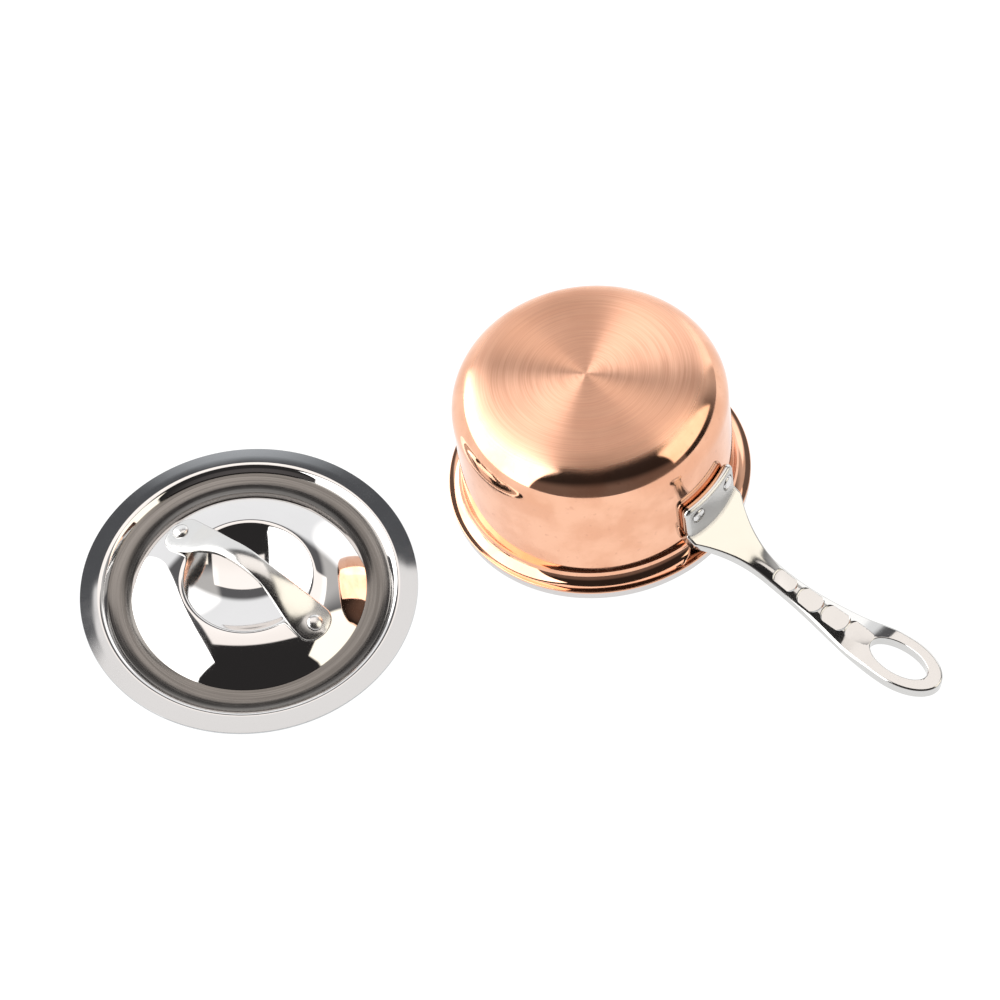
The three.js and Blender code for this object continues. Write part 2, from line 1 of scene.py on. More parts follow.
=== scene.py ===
# %% [markdown]
# # A small copper saucepan beside its lid
# The pan stands upside down on its rim and on the end of its handle, and the steel lid lies
# next to it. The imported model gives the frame: every piece below is drawn in metres where its
# solid stands, so nothing has to be fitted by eye afterwards.

# %% Load the frame
import math
from bisect import bisect_left
import bpy
from mathutils import Euler, Matrix, Vector


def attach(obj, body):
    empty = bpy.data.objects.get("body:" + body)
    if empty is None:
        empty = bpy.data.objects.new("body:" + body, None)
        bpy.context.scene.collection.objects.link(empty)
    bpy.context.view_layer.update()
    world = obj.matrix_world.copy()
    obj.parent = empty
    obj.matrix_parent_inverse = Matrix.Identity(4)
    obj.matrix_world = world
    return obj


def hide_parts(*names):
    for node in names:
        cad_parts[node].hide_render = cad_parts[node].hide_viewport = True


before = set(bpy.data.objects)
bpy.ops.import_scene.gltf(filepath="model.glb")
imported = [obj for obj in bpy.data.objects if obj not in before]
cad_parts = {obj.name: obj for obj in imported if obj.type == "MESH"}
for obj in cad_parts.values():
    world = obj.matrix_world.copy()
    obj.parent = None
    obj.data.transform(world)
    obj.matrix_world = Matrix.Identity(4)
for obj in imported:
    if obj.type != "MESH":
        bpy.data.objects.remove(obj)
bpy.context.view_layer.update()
MM = 0.001


def neat(point):
    """A point in metres, short enough to print"""
    return [round(c, 4) for c in point]


# %% [markdown]
# ## Where the two stand
# The pan is drawn in its own upright frame: zero on the face of its rim, Z towards its base,
# X along its handle. One matrix tips it onto the end of the handle and turns it on the table.
# The lid has a frame of its own too, with X along its strap.

# %% Places of the pan and the lid
PAN_ORIGIN = Vector((39.466, 23.776, 5.71)) * MM
PAN_TURN = Euler((0, math.radians(-5.633), math.radians(-39.7)), "XYZ")
LID_ORIGIN = Vector((-98.2, -17.784, 0)) * MM
LID_TURN = Euler((0, 0, math.radians(-41.1)), "XYZ")
PAN_PLACE = Matrix.Translation(PAN_ORIGIN) @ PAN_TURN.to_matrix().to_4x4()
LID_PLACE = Matrix.Translation(LID_ORIGIN) @ LID_TURN.to_matrix().to_4x4()
UPWARD = Vector((0, 0, 1))
PAN_AXIS = PAN_PLACE.to_3x3() @ UPWARD
print("pan axis", neat(PAN_AXIS))

# %% [markdown]
# ## Camera
# A long lens looks down at the table at about 56 degrees, turned a little about its own axis.
# The matrix is written out, because the three directions are then easy to read.

# %% Camera
CAMERA_TARGET = Vector((-0.054, 19.186, 0)) * MM
CAMERA_DISTANCE = 1561.9 * MM
CAMERA_ELEVATION = math.radians(55.790)
CAMERA_ROLL = math.radians(-2.808)
CAMERA_LENS = 144
CAMERA_SENSOR = 36

backward = Vector((0, -math.cos(CAMERA_ELEVATION), math.sin(CAMERA_ELEVATION)))
sideways = Vector((1, 0, 0))
upward = backward.cross(sideways)
image_right = math.cos(CAMERA_ROLL) * sideways + math.sin(CAMERA_ROLL) * upward
image_up = -math.sin(CAMERA_ROLL) * sideways + math.cos(CAMERA_ROLL) * upward
camera_turn = Matrix((image_right, image_up, backward)).transposed().to_4x4()
camera_spot = CAMERA_TARGET + backward * CAMERA_DISTANCE

camera_data = bpy.data.cameras.new("camera")
camera_data.lens = CAMERA_LENS
camera_data.sensor_width = CAMERA_SENSOR
camera_data.sensor_fit = "HORIZONTAL"
camera_data.clip_end = 50
camera = bpy.data.objects.new("camera", camera_data)
bpy.context.scene.collection.objects.link(camera)
camera.matrix_world = Matrix.Translation(camera_spot) @ camera_turn
bpy.context.scene.camera = camera
bpy.context.scene.view_settings.view_transform = "Standard"
print("camera at", neat(camera_spot))

# %% [markdown]
# ## Nodes in a few words
# Every material and the studio light below are small node trees. The first helper adds a node,
# sets its options and its unlinked inputs, and joins the linked ones, so that a tree reads
# from top to bottom. The others are the few sums that the trees are made of.

# %% Node helpers
def add_node(tree, kind, inputs=None, **options):
    node = tree.nodes.new(kind)
    for name, value in options.items():
        setattr(node, name, value)
    for key, value in (inputs or {}).items():
        if isinstance(value, bpy.types.NodeSocket):
            tree.links.new(value, node.inputs[key])
        else:
            node.inputs[key].default_value = value
    return node


def calc(tree, operation, first, second=0.0):
    inputs = {0: first, 1: second}
    return add_node(tree, "ShaderNodeMath", inputs, operation=operation).outputs[0]


def vector_calc(tree, operation, first, second):
    inputs = {0: first, 1: second}
    return add_node(tree, "ShaderNodeVectorMath", inputs, operation=operation).outputs[0]


def scaled(tree, vector, factor):
    inputs = {0: vector, "Scale": factor}
    return add_node(tree, "ShaderNodeVectorMath", inputs, operation="SCALE").outputs[0]


def fade(tree, value, start, end, low=0.0, high=1.0):
    """Smooth change from low to high while the value goes from start to end"""
    inputs = {"Value": value, "From Min": start, "From Max": end, "To Min": low, "To Max": high}
    return add_node(tree, "ShaderNodeMapRange", inputs, interpolation_type="SMOOTHSTEP").outputs[0]


print("node helpers ready")

# %% [markdown]
# ## Studio
# Polished metal shows the room more than itself. The studio is therefore drawn as a room of
# soft windows on a dark ground: one above, a strong one on the left, a warm one on the right,
# a pale sweep behind and only a dim glow in front. Each window is a rectangle on one wall of the
# room, and its edges are given as shares of the distance to that wall.

# %% Windows of the studio
ROOM_GLOW = (0.03, 0.028, 0.028)
BACK_GLOW = (0.11, 0.11, 0.115)

world = bpy.data.worlds.new("studio")
world.use_nodes = True
bpy.context.scene.world = world
room = world.node_tree
room.nodes.clear()
direction = add_node(room, "ShaderNodeTexCoord").outputs["Generated"]
towards = add_node(room, "ShaderNodeSeparateXYZ", {0: direction}).outputs


def on_wall(wall):
    """Distance to a wall of the room and the two places along it, for a view direction"""
    right, away, up = towards
    if wall == "ceiling":
        return up, right, away
    if wall == "left":
        return calc(room, "MULTIPLY", right, -1.0), away, up
    if wall == "right":
        return right, away, up
    if wall == "front":
        return calc(room, "MULTIPLY", away, -1.0), right, up
    return away, right, up


def window(wall, across, along, colour, strength, soft=0.03):
    """Light of a window from its span across and along the wall and the softness of its edges"""
    depth, first, second = on_wall(wall)
    lit = fade(room, depth, 0.0, 0.02)
    for place, (low, high) in ((first, across), (second, along)):
        ratio = calc(room, "DIVIDE", place, depth)
        lit = calc(room, "MULTIPLY", lit, fade(room, ratio, low - soft, low + soft))
        lit = calc(room, "MULTIPLY", lit, fade(room, ratio, high - soft, high + soft, 1.0, 0.0))
    return scaled(room, colour, calc(room, "MULTIPLY", lit, strength))


windows = [
    window("ceiling", (-0.36, 0.60), (-0.04, 0.71), (1.0, 0.935, 0.885), 1.28, 0.015),
    window("left", (-0.88, 1.2), (-0.2, 2.2), (1.0, 0.99, 0.97), 3.1),
    window("right", (-0.62, 0.32), (0.22, 1.45), (1.0, 0.93, 0.80), 1.65),
    window("back", (-2.2, 1.1), (-0.2, 0.85), (0.98, 0.99, 1.0), 1.0, 0.12),
    window("right", (0.5, 2.6), (-0.2, 1.9), (1.0, 0.97, 0.93), 0.5, 0.3),
    window("front", (-2.5, 2.5), (-0.3, 0.6), (1.0, 0.90, 0.88), 0.14, 0.25),
]
dim_back = scaled(room, BACK_GLOW, fade(room, towards[1], 0.0, 0.35))
light = vector_calc(room, "ADD", ROOM_GLOW, dim_back)
for lit_window in windows:
    light = vector_calc(room, "ADD", light, lit_window)
sky = add_node(room, "ShaderNodeBackground", {"Color": light, "Strength": 1.0})
add_node(room, "ShaderNodeOutputWorld", {"Surface": sky.outputs[0]})
print("studio windows", len(windows), "in", len(room.nodes), "nodes")

# %% [markdown]
# ## Floor
# The table is a bright white sheet. It is lit evenly from within, as a light table is, so that
# it stays white and leaves almost no shadow.

# %% Floor
FLOOR_SIZE = 8.0
FLOOR_DROP = 0.05 * MM
bpy.ops.object.select_all(action="DESELECT")
bpy.ops.mesh.primitive_plane_add(size=FLOOR_SIZE, location=(0, 0, -FLOOR_DROP))
floor = bpy.context.object
floor.name = "floor"
floor_finish = bpy.data.materials.new("white_table")
floor_finish.use_nodes = True
floor_shader = floor_finish.node_tree.nodes["Principled BSDF"]
floor_shader.inputs["Base Color"].default_value = (0.1, 0.1, 0.1, 1)
floor_shader.inputs["Roughness"].default_value = 1.0
floor_shader.inputs["Specular IOR Level"].default_value = 0.0
floor_shader.inputs["Emission Color"].default_value = (1, 1, 1, 1)
floor_shader.inputs["Emission Strength"].default_value = 1.0
floor.data.materials.append(floor_finish)
print("floor", FLOOR_SIZE, "m wide")

# %% [markdown]
# ## Turned pieces
# The bowl, its lining, the lid and the rivets are all round. On the lathe such a piece is one
# section line swept about an axis, and in Blender it is the same: a plane is merged to a single
# vertex, the vertex is extruded along the section, and the line is spun through a full turn.

# %% Drawing and turning a section
WELD = 0.002 * MM


def pick_only(piece):
    bpy.ops.object.select_all(action="DESELECT")
    piece.select_set(True)
    bpy.context.view_layer.objects.active = piece


def draw_line(name, points):
    bpy.ops.object.select_all(action="DESELECT")
    bpy.ops.mesh.primitive_plane_add(size=2 * MM, location=(0, 0, 0))
    piece = bpy.context.object
    piece.name = name
    piece.data.name = name
    bpy.ops.object.mode_set(mode="EDIT")
    bpy.ops.mesh.select_mode(type="VERT")
    bpy.ops.mesh.merge(type="CENTER")
    bpy.ops.transform.translate(value=points[0])
    for here, there in zip(points, points[1:]):
        bpy.ops.mesh.extrude_region_move(TRANSFORM_OT_translate={"value": there - here})
    bpy.ops.mesh.select_all(action="SELECT")
    return piece


def shade(piece, degrees):
    """Smooth shading, with a crease where two faces meet at more than this angle"""
    pick_only(piece)
    bpy.ops.object.shade_smooth_by_angle(angle=math.radians(degrees))


def turn(name, section, steps):
    """A closed piece of revolution about Z from a section of (radius, height) in millimetres"""
    piece = draw_line(name, [Vector((radius, 0, height)) * MM for radius, height in section])
    bpy.ops.mesh.spin(steps=steps, angle=math.tau, center=(0, 0, 0), axis=(0, 0, 1))
    bpy.ops.mesh.select_all(action="SELECT")
    bpy.ops.mesh.remove_doubles(threshold=WELD)
    bpy.ops.mesh.normals_make_consistent(inside=False)
    bpy.ops.object.mode_set(mode="OBJECT")
    shade(piece, 40)
    return piece


def set_down(piece, place):
    """Puts a finished piece in its place and leaves that place in the mesh"""
    pick_only(piece)
    piece.matrix_world = place
    bpy.ops.object.transform_apply(location=True, rotation=True, scale=True)
    low = [min(v.co[k] for v in piece.data.vertices) for k in range(3)]
    high = [max(v.co[k] for v in piece.data.vertices) for k in range(3)]
    print(piece.name, len(piece.data.polygons), "faces, from", neat(low), "to", neat(high))


def arc(x, y, radius, start, end, steps):
    """Points on a round stretch, from one angle in degrees to another"""
    turns = [math.radians(start + (end - start) * i / steps) for i in range(steps + 1)]
    return [(x + radius * math.cos(a), y + radius * math.sin(a)) for a in turns]


print("lathe ready, points closer than", WELD / MM, "mm are welded")

# %% [markdown]
# ## Copper bowl
# The outside ply is spun from copper sheet: a flat base, a full round corner, a straight wall,
# and a flare that ends in a narrow flat lip. Its section runs down the outside, round the lip
# and back up the inside, so the spun sheet is closed and has its real thickness.

# %% Copper bowl
PAN_RADIUS = 53.0
PAN_HEIGHT = 64.0
CORNER_RADIUS = 17.5
FLARE_RADIUS = 5.2
FLARE_HEIGHT = 9.5
RIM_RADIUS = 58.9
LIP_HEIGHT = 4.3
LIP_ROUND = 0.3
LIP_BREAK = 0.1
COPPER_THICKNESS = 0.8
ROUND_STEPS = 224
BASE_SHARES = (0, 0.04, 0.3, 0.6, 0.85, 0.96)
WALL_HEIGHTS = (46, 36, 26, 18, 12)
EDGE_GUARD = 0.05


def wall_line(inset, flare_end):
    """Half a section of the bowl, from the middle of the base to an angle on the flare"""
    corner = PAN_RADIUS - CORNER_RADIUS
    flat = [(corner * share, PAN_HEIGHT - inset) for share in BASE_SHARES]
    bend = arc(corner, PAN_HEIGHT - CORNER_RADIUS, CORNER_RADIUS - inset, 90, 0, 28)
    wall = [(PAN_RADIUS - inset, height) for height in WALL_HEIGHTS]
    flare = arc(PAN_RADIUS + FLARE_RADIUS, FLARE_HEIGHT, FLARE_RADIUS + inset, 180, flare_end, 22)
    return flat + bend + wall + flare


lip_round_x = RIM_RADIUS - LIP_ROUND
lip_foot = LIP_HEIGHT - COPPER_THICKNESS
copper_lip = [(lip_round_x - EDGE_GUARD, LIP_HEIGHT)]
copper_lip += arc(lip_round_x, LIP_HEIGHT - LIP_ROUND, LIP_ROUND, 90, 0, 6)
copper_lip += [(RIM_RADIUS, lip_foot + LIP_BREAK), (RIM_RADIUS - LIP_BREAK, lip_foot)]
copper_section = wall_line(0, 270) + copper_lip + wall_line(COPPER_THICKNESS, 270)[::-1]
copper_bowl = turn("copper_bowl", copper_section, ROUND_STEPS)
set_down(copper_bowl, PAN_PLACE)

# %% [markdown]
# ## Steel lining
# The inside ply is steel. At the mouth it is rolled outwards into a hem, which shows as the
# silver band under the copper lip.

# %% Steel lining
LINING_INSET = 2.4
WALL_INSET = 3.0
HEM_START = 56.6
HEM_FLAT_END = 58.0
HEM_MIDDLE = 58.15
HEM_INSIDE = 57.1
HEM_TOP = 3.45
HEM_ROUND = 0.45


def hem_angle(inset):
    """Angle on the flare where a face of the lining meets the hem"""
    reach = PAN_RADIUS + FLARE_RADIUS - HEM_START
    return 180 + math.degrees(math.acos(reach / (FLARE_RADIUS + inset)))


hem = [(HEM_START, HEM_TOP), (HEM_FLAT_END, HEM_TOP)]
hem += arc(HEM_MIDDLE, HEM_TOP - HEM_ROUND, HEM_ROUND, 80, 0, 6)
hem += arc(HEM_MIDDLE, HEM_ROUND, HEM_ROUND, 0, -90, 6) + [(HEM_INSIDE, 0)]
lining_section = wall_line(LINING_INSET, hem_angle(LINING_INSET)) + hem
lining_section += wall_line(WALL_INSET, hem_angle(WALL_INSET))[::-1]
steel_bowl = turn("steel_bowl", lining_section, ROUND_STEPS)
set_down(steel_bowl, PAN_PLACE)

# %% [markdown]
# ## Curves of the lid
# The lid is pressed from one sheet: a dished centre inside a round crest, a dome that falls to
# a round gutter, a short wall and a flange that hangs over the pan's rim. The dome gets steeper
# on its way out, and the floor of the gutter is part of a large circle.

# %% Curves of the lid
SHEET = 0.9
CREST_RADIUS = 25.4
CREST = 10.55
DOME_RUN = 19.8
DOME_STEEPNESS = (0.17, 0.53, 0.135)
GUTTER_MIDDLE = 50.0
GUTTER_ROUND = 19.5
GUTTER_INNER = 45.2
GUTTER_OUTER = 54.8


def dome_height(radius):
    share = (radius - CREST_RADIUS) / DOME_RUN
    start, rise, curl = DOME_STEEPNESS
    return CREST - DOME_RUN * (start * share + rise * share ** 2 / 2 + curl * share ** 3 / 3)


def dome_slope(radius):
    share = (radius - CREST_RADIUS) / DOME_RUN
    start, rise, curl = DOME_STEEPNESS
    return -(start + rise * share + curl * share ** 2)


def gutter_height(radius):
    out = radius - GUTTER_MIDDLE
    return SHEET / 2 + GUTTER_ROUND - math.sqrt(GUTTER_ROUND ** 2 - out ** 2)


print("dome from", CREST, "mm down to", round(dome_height(GUTTER_INNER), 2), "mm at the gutter")

# %% [markdown]
# ## Lid
# The middle line of the sheet is drawn first, with its bends rounded, and then shifted to
# either side by half the thickness. The two faces and the edge of the flange close the section.

# %% Lid
CREST_BEND = 2.75
DISH_DEPTH = 8.0
SHOULDER = 2.6
CREASE = 0.6
SHOULDER_POINT = (57.0, 3.52)
FLANGE_POINTS = ((61.5, 2.96), (65.0, 2.5))
FLANGE_EDGE = [(65.16, 2.8), (65.2, 2.5), (65.08, 2.14)]


def rounded(corners, steps=10):
    """A path of (x, y, bend radius) corners with each bend drawn as an arc"""
    path = [Vector(corners[0][:2])]
    for before, corner, after in zip(corners, corners[1:], corners[2:]):
        here = Vector(corner[:2])
        back = (Vector(before[:2]) - here).normalized()
        ahead = (Vector(after[:2]) - here).normalized()
        half = math.acos(max(-1, min(1, back.dot(ahead)))) / 2
        if not corner[2]:
            path.append(here)
            continue
        middle = here + (back + ahead).normalized() * corner[2] / math.sin(half)
        start = here + back * corner[2] / math.tan(half) - middle
        end = here + ahead * corner[2] / math.tan(half) - middle
        sweep = math.atan2(start.x * end.y - start.y * end.x, start.dot(end))
        for i in range(steps + 1):
            path.append(middle + Matrix.Rotation(sweep * i / steps, 2) @ start)
    return path + [Vector(corners[-1][:2])]


def sheet_face(path, distance):
    """One face of a sheet, at a distance from its middle line and closed on the axis"""
    face = []
    for i, here in enumerate(path):
        along = (path[min(i + 1, len(path) - 1)] - path[max(i - 1, 0)]).normalized()
        moved = here + Vector((-along.y, along.x)) * distance
        face.append((max(moved.x, 0) if i else 0, moved.y))
    return face


dish_shares = [i / 20 for i in range(19)]
dish = [(CREST_RADIUS * s, CREST - DISH_DEPTH * (1 - s * s), 0) for s in dish_shares]
dome_radii = [CREST_RADIUS + DOME_RUN * i / 24 for i in range(2, 23)]
dome = [(radius, dome_height(radius), 0) for radius in dome_radii]
gutter_radii = [GUTTER_INNER + 1 + 0.7 * i for i in range(12)]
gutter_floor = [(GUTTER_INNER, gutter_height(GUTTER_INNER), CREASE)]
gutter_floor += [(radius, gutter_height(radius), 0) for radius in gutter_radii]
gutter_floor += [(GUTTER_OUTER, gutter_height(GUTTER_OUTER), 2 * CREASE)]
flange_line = [(*SHOULDER_POINT, SHOULDER)] + [(*point, 0) for point in FLANGE_POINTS]
lid_line = rounded(dish + [(CREST_RADIUS, CREST, CREST_BEND)] + dome + gutter_floor + flange_line)
lid_top = sheet_face(lid_line, SHEET / 2)
lid_under = sheet_face(lid_line, -SHEET / 2)
lid_sheet = turn("lid_sheet", lid_top + FLANGE_EDGE + lid_under[::-1], ROUND_STEPS)
set_down(lid_sheet, LID_PLACE)

# %% [markdown]
# ## Pieces cut from a flat blank
# The strap is cut flat from thick sheet and then bent, and the arm and pad of the handle have
# the same kind of form. So each is drawn as a flat outline, filled, extruded to its thickness
# and rounded along its edges. Booleans join such pieces and cut holes in them.

# %% Cutting a blank
def cut_blank(name, outline, thickness):
    """A flat plate with its upper face at zero, from an outline of points in millimetres"""
    piece = draw_line(name, [Vector((x, y, 0)) * MM for x, y in outline])
    bpy.ops.mesh.edge_face_add()
    bpy.ops.mesh.extrude_region_move(TRANSFORM_OT_translate={"value": (0, 0, -thickness * MM)})
    bpy.ops.mesh.select_all(action="SELECT")
    bpy.ops.mesh.normals_make_consistent(inside=False)
    bpy.ops.object.mode_set(mode="OBJECT")
    return piece


def combine(piece, other, operation):
    """Joins or cuts a piece with another one, which is used up"""
    pick_only(piece)
    tool = piece.modifiers.new("combine", "BOOLEAN")
    tool.operation = operation
    tool.solver = "EXACT"
    tool.object = other
    bpy.ops.object.modifier_apply(modifier=tool.name)
    bpy.data.objects.remove(other)


SHARP_EDGE = 60


def round_edges(piece, radius, segments=5):
    pick_only(piece)
    bpy.ops.object.mode_set(mode="EDIT")
    bpy.ops.mesh.select_mode(type="EDGE")
    bpy.ops.mesh.select_all(action="DESELECT")
    bpy.ops.mesh.edges_select_sharp(sharpness=math.radians(SHARP_EDGE))
    bpy.ops.mesh.bevel(offset=radius * MM, offset_type="OFFSET", segments=segments, profile=0.5)
    bpy.ops.object.mode_set(mode="OBJECT")


print("edges sharper than", SHARP_EDGE, "degrees will be rounded")

# %% [markdown]
# ## Slicing and bending
# A flat plate has nothing to bend between its edges, so Bisect first cuts it across in thin
# slices. The sides can then be lowered into a crown, and a Curve modifier bends the slices
# along a line.

# %% Slicing and bending a blank
def slice_at(piece, places, axis):
    pick_only(piece)
    facing = Vector((0, 0, 0))
    facing[axis] = 1
    bpy.ops.object.mode_set(mode="EDIT")
    for place in places:
        bpy.ops.mesh.select_all(action="SELECT")
        bpy.ops.mesh.bisect(plane_co=facing * place, plane_no=facing)
    bpy.ops.object.mode_set(mode="OBJECT")


def slice_across(piece, spacing, axis=0):
    start = min(v.co[axis] for v in piece.data.vertices)
    end = max(v.co[axis] for v in piece.data.vertices)
    count = int((end - start) / (spacing * MM))
    slice_at(piece, [start + (end - start) * i / (count + 1) for i in range(1, count + 1)], axis)


def crown_over(piece, stations, thickness=None):
    """Lowers the sides of a flat blank: stations are (place along X, half width, drop).

    With a thickness, the under face stays flat. Without one, it follows the upper face.
    """
    runs = [station[0] for station in stations]
    for vertex in piece.data.vertices:
        place = vertex.co.x / MM
        i = min(len(runs) - 2, max(0, bisect_left(runs, place) - 1))
        share = (place - runs[i]) / max(1e-6, runs[i + 1] - runs[i])
        half = stations[i][1] + (stations[i + 1][1] - stations[i][1]) * share
        drop = stations[i][2] + (stations[i + 1][2] - stations[i][2]) * share
        out = min(1.0, abs(vertex.co.y) / MM / max(half, 0.5))
        depth = 1.0 if thickness is None else 1 + vertex.co.z / MM / thickness
        vertex.co.z -= drop * out ** 2 * depth * MM


def bend_along(piece, points):
    """Bends a piece that lies along X so that X follows a line of points in millimetres"""
    line = bpy.data.curves.new("bend_line", "CURVE")
    line.dimensions = "3D"
    line.twist_mode = "Z_UP"
    spline = line.splines.new("POLY")
    spline.points.add(len(points) - 1)
    for knot, place in zip(spline.points, points):
        knot.co = (place[0] * MM, place[1] * MM, place[2] * MM, 1)
    guide = bpy.data.objects.new("bend_line", line)
    bpy.context.scene.collection.objects.link(guide)
    pick_only(piece)
    bend = piece.modifiers.new("bend", "CURVE")
    bend.object = guide
    bend.deform_axis = "POS_X"
    bpy.ops.object.modifier_apply(modifier=bend.name)
    bpy.data.objects.remove(guide)
    bpy.data.curves.remove(line)


def even_shading(piece):
    """Lets the large faces decide how light falls near their edges"""
    pick_only(piece)
    evener = piece.modifiers.new("even", "WEIGHTED_NORMAL")
    evener.keep_sharp = True
    evener.weight = 70
    evener.thresh = 0.15
    bpy.ops.object.modifier_apply(modifier=evener.name)


def lengths(points):
    """Distance along a line of points, at each point"""
    run = [0.0]
    for here, there in zip(points, points[1:]):
        run.append(run[-1] + (Vector(there) - Vector(here)).length)
    return run


def ease(value, start, end):
    """Smooth step from zero at the start to one at the end"""
    share = min(1, max(0, (value - start) / (end - start)))
    return share * share * (3 - 2 * share)


print("bending ready, ease half way is", ease(0.5, 0, 1))

# %% [markdown]
# ## Line of the handle
# The handle is one casting: a curved pad against the wall, and an arm that dips from it, narrows
# to a neck and widens into a hanging loop. Seen from the side, the top of the arm follows one
# crown line, steep at the root and nearly level at the tip. Seen from above, its width changes
# along that line.

# %% Line of the handle
ROOT_X = 58.0
NECK_X = 84.0
LOOP_X = 139.5
TIP_X = 158.0
ROOT_WIDTH = 30.2
NECK_WIDTH = 8.6
LOOP_WIDTH = 21.8
ROOT_FLARE = 2.2
LOOP_SWELL = 1.2
ARM_START = 54.0
ARM_LENGTH = TIP_X - ROOT_X
CROWN_RISE = 5.2
CROWN_FALL = 0.12
CROWN_STEEPNESS = 0.63
CROWN_POWER = 3.35
CROWN_STEPS = 240


def crown_height(x):
    left = (TIP_X - x) / ARM_LENGTH
    dip = CROWN_STEEPNESS * ARM_LENGTH / CROWN_POWER * (1 - left ** CROWN_POWER)
    return FLARE_HEIGHT + CROWN_RISE - CROWN_FALL * (x - ROOT_X) - dip


def crown_slope(x):
    left = (TIP_X - x) / ARM_LENGTH
    return -CROWN_FALL - CROWN_STEEPNESS * left ** (CROWN_POWER - 1)


def arm_width(x):
    if x > LOOP_X:
        return LOOP_WIDTH * math.sqrt(max(0, 1 - ((x - LOOP_X) / (TIP_X - LOOP_X)) ** 2))
    if x > NECK_X:
        return NECK_WIDTH + (LOOP_WIDTH - NECK_WIDTH) * ease(x, NECK_X, LOOP_X) ** LOOP_SWELL
    share = min(1, (NECK_X - x) / (NECK_X - ROOT_X))
    return NECK_WIDTH + (ROOT_WIDTH - NECK_WIDTH) * share ** ROOT_FLARE


crown_x = [ARM_START + (TIP_X - ARM_START) * i / CROWN_STEPS for i in range(CROWN_STEPS + 1)]
crown_line = [(x, 0, crown_height(x)) for x in crown_x]
crown_run = lengths(crown_line)


def along_crown(x):
    """Distance along the crown line at a place along the handle"""
    share = (x - ARM_START) / (TIP_X - ARM_START) * CROWN_STEPS
    i = min(CROWN_STEPS - 1, max(0, int(share)))
    return crown_run[i] + (crown_run[i + 1] - crown_run[i]) * (share - i)


print("crown line", round(crown_run[-1], 1), "mm long, tip at", round(crown_height(TIP_X), 2), "mm")

# %% [markdown]
# ## Arm of the handle
# The arm is a blank with lightly rounded edges and an oval hole. Along the grip its sides are
# lowered, so that it has a crown across, and then the whole arm is bent along its crown line.

# %% Arm of the handle
ARM_THICKNESS = 5.2
ARM_EDGE = 1.0
HOLE_EDGE = 0.45
HOLE_HALF_AXES = (12.4, 6.4)
CUTTER_HEIGHT = 30
ARM_SLICE = 0.8
GRIP_SLICE = 0.75
ARM_CROWN = 0.3
GRIP_RISE = (70, 86)
GRIP_FALL = (117, 134)


def arm_crown(x):
    """How far the sides of the arm are lowered at a place along the handle"""
    grip = ease(x, *GRIP_RISE) * (1 - ease(x, *GRIP_FALL))
    return ARM_CROWN * arm_width(x) / 2 * grip


side_x = [ARM_START + (LOOP_X - ARM_START) * i / 64 for i in range(64)]
tip_x = [LOOP_X + (TIP_X - LOOP_X) * math.sin(math.radians(90 * i / 24)) for i in range(24)]
side = [(along_crown(x), arm_width(x) / 2) for x in side_x + tip_x]
outline = [(s, -w) for s, w in side] + [(along_crown(TIP_X), 0)] + [(s, w) for s, w in side[::-1]]
handle = cut_blank("handle_casting", outline, ARM_THICKNESS)
round_edges(handle, ARM_EDGE)
bpy.ops.object.select_all(action="DESELECT")
bpy.ops.mesh.primitive_cylinder_add(vertices=72, radius=1, depth=2)
hole = bpy.context.object
hole.scale = Vector((*HOLE_HALF_AXES, CUTTER_HEIGHT)) * MM
hole.location = (along_crown(LOOP_X) * MM, 0, 0)
bpy.ops.object.transform_apply(location=True, rotation=True, scale=True)
combine(handle, hole, "DIFFERENCE")
round_edges(handle, HOLE_EDGE, 4)
slice_across(handle, ARM_SLICE)
slice_at(handle, [GRIP_SLICE * MM * i for i in range(-4, 5)], 1)
stations = [(along_crown(x), arm_width(x) / 2, arm_crown(x)) for x in crown_x]
crown_over(handle, stations, ARM_THICKNESS)
bend_along(handle, crown_line)
print("arm", len(handle.data.polygons), "faces")

# %% [markdown]
# ## Pad of the handle
# The pad is a second blank, with large upper corners and small lower ones. It is stood upright
# and bent round the wall, and a Boolean joins it to the arm.

# %% Pad of the handle
PAD_RADIUS = 57.15
PAD_THICKNESS = 4.0
PAD_WIDTH = 30.4
PAD_BOTTOM = 10.5
PAD_TOP = 31.5
PAD_CORNER = 9.0
PAD_FOOT_CORNER = 3.0
PAD_EDGE = 1.9
PAD_SLICE = 0.6
half_pad = PAD_RADIUS * math.asin(PAD_WIDTH / 2 / PAD_RADIUS)
half_rise = (PAD_TOP - PAD_BOTTOM) / 2
pad_corners = [(1, -1, -90, PAD_FOOT_CORNER), (1, 1, 0, PAD_CORNER),
               (-1, 1, 90, PAD_CORNER), (-1, -1, 180, PAD_FOOT_CORNER)]
pad_outline = []
for right, up, start, bend in pad_corners:
    middle = (half_pad + right * (half_pad - bend), up * (half_rise - bend))
    pad_outline += arc(*middle, bend, start, start + 90, 12)
pad = cut_blank("handle_pad", pad_outline, PAD_THICKNESS)
round_edges(pad, PAD_EDGE, 6)
slice_across(pad, PAD_SLICE)
pad.rotation_euler = (math.radians(-90), 0, 0)
bpy.ops.object.transform_apply(location=False, rotation=True, scale=False)
pad_angle = math.degrees(half_pad / PAD_RADIUS)
pad_middle = (PAD_TOP + PAD_BOTTOM) / 2
pad_line = [(x, y, pad_middle) for x, y in arc(0, 0, PAD_RADIUS, pad_angle, -pad_angle, 80)]
bend_along(pad, pad_line)
combine(handle, pad, "UNION")
print("arm and pad", len(handle.data.polygons), "faces")

# %% [markdown]
# ## Dimples
# Four shallow round hollows run along the arm as a grip. Each is cut with a turned pin that has
# a slightly domed end and a rounded rim, held square to the crown line or tilted a little.

